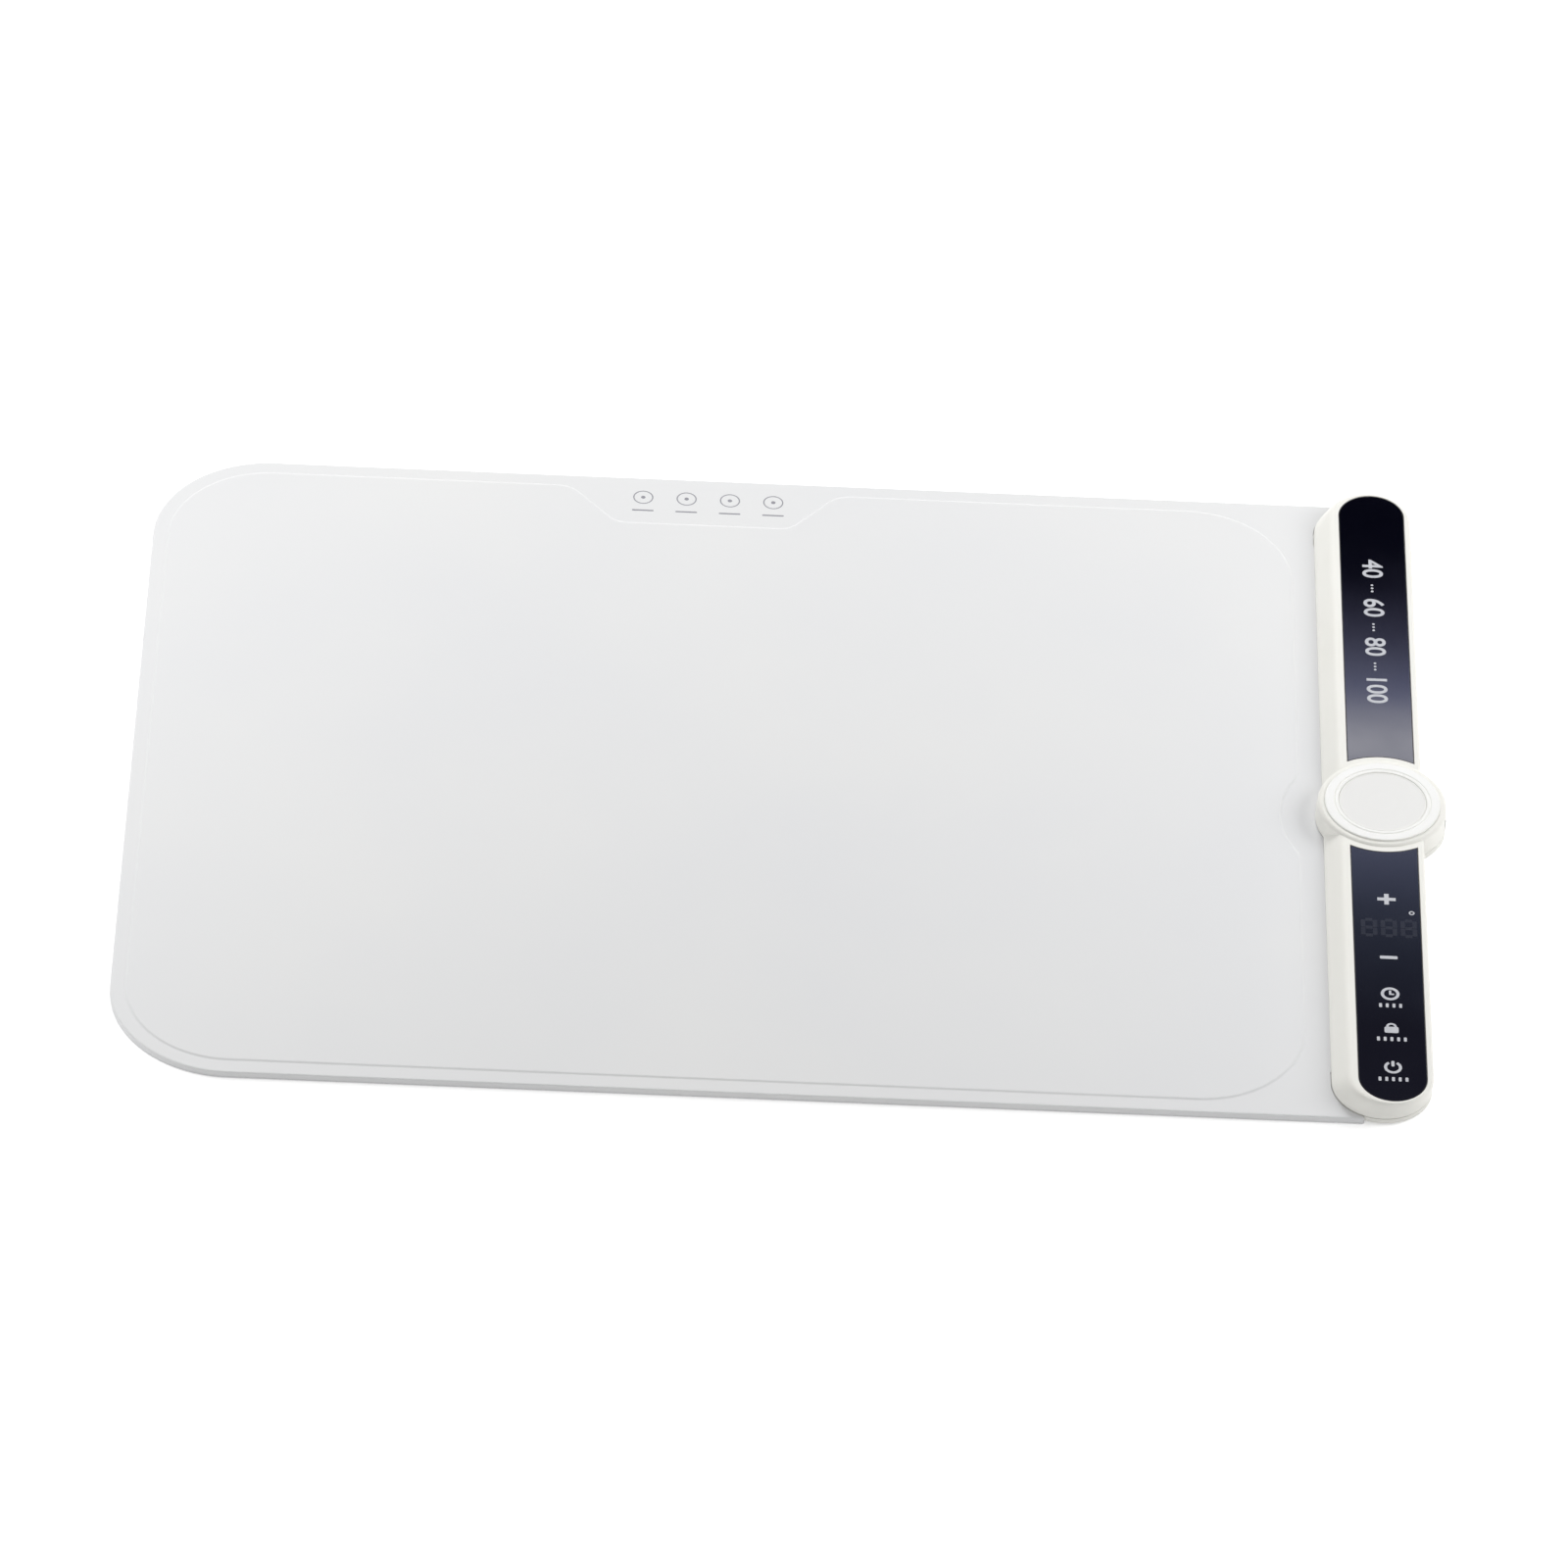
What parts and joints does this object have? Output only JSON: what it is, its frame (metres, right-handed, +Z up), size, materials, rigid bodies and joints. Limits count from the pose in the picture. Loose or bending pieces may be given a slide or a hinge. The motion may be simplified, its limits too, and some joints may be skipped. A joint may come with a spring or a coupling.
{
  "type": "electric food warmer tray",
  "caption": "Thin silicone food warming mat with rounded corners, a raised heated field and a slim control bar with glossy touch panel and round medallion on one short side.",
  "frame": {"origin": "on the table, under the middle of the whole object's box", "axes": "+Z up; X along the mat's long side, with the control bar at +X; +Y away from the user, so the touch keys lie at -Y"},
  "size_m": [0.57, 0.4, 0.0136],
  "materials": {
    "white_silicone": "smooth matt silicone",
    "grey_silicone": "matt, lightly textured",
    "glass_felt": "felted glass fibre",
    "polyimide": "satin film",
    "etched_alloy": "etched foil",
    "aluminium_foil": "satin",
    "cream_plastic": "fine satin moulding",
    "black_panel": "high gloss",
    "white_gloss": "gloss",
    "spun_disc": "fine turned lines",
    "spring_steel": "bright",
    "board_green": "solder mask",
    "display_black": "satin",
    "contact_foam": "conductive foam",
    "chip_black": "moulded epoxy",
    "copper": "bare copper",
    "winding_tape": "wound tape",
    "capacitor_sleeve": "shrink sleeve",
    "fuse_glass": "clear",
    "varistor_coat": "dipped coat",
    "wire_sleeve": "satin sleeve",
    "zinc": "zinc plate",
    "foot_rubber": "matt",
    "black_nylon": "satin",
    "brass": "bright"
  },
  "bodies": {
    "root": {"board_link_cable": "wire_sleeve", "buzzer": "chip_black", "clamp_screw_1": "zinc", "clamp_screw_2": "zinc", "clamp_screw_3": "zinc", "clamp_screw_4": "zinc", "control_board": "board_green", "control_board_screw_1": "zinc", "control_board_screw_2": "zinc", "display_module": "display_black", "foot_far_left": "foot_rubber", "foot_far_right": "foot_rubber", "foot_near_left": "foot_rubber", "foot_near_right": "foot_rubber", "front_panel": "black_panel", "heat_sink": "aluminium_foil", "heat_spreader_foil": "aluminium_foil", "heater_film": "polyimide", "heater_lead_far": "copper", "heater_lead_near": "copper", "heating_track": "etched_alloy", "housing_base": "cream_plastic", "housing_screw_1": "zinc", "housing_screw_2": "zinc", "housing_screw_3": "zinc", "housing_screw_4": "zinc", "housing_screw_5": "zinc", "housing_screw_6": "zinc", "housing_top": "cream_plastic", "inlet_cover": "cream_plastic", "inlet_pin_far": "brass", "inlet_pin_near": "brass", "inlet_wire_far": "wire_sleeve", "inlet_wire_near": "wire_sleeve", "insulation_felt": "glass_felt", "mains_fuse": "fuse_glass", "mat_bottom_skin": "grey_silicone", "mat_clamp_strip": "spring_steel", "mat_top_skin": "white_silicone", "medallion_disc": "spun_disc", "medallion_ring": "white_gloss", "microcontroller": "chip_black", "power_board": "board_green", "power_board_screw_1": "zinc", "power_board_screw_2": "zinc", "power_inlet": "black_nylon", "rear_panel": "black_panel", "sensor_lead_far": "copper", "sensor_lead_near": "copper", "smoothing_capacitor": "capacitor_sleeve", "thermal_fuse": "spring_steel", "thermistor": "chip_black", "touch_pad_lock": "contact_foam", "touch_pad_minus": "contact_foam", "touch_pad_plus": "contact_foam", "touch_pad_power": "contact_foam", "touch_pad_time": "contact_foam", "transformer": "winding_tape", "triac": "chip_black", "varistor": "varistor_coat"}
  },
  "joints": []
}
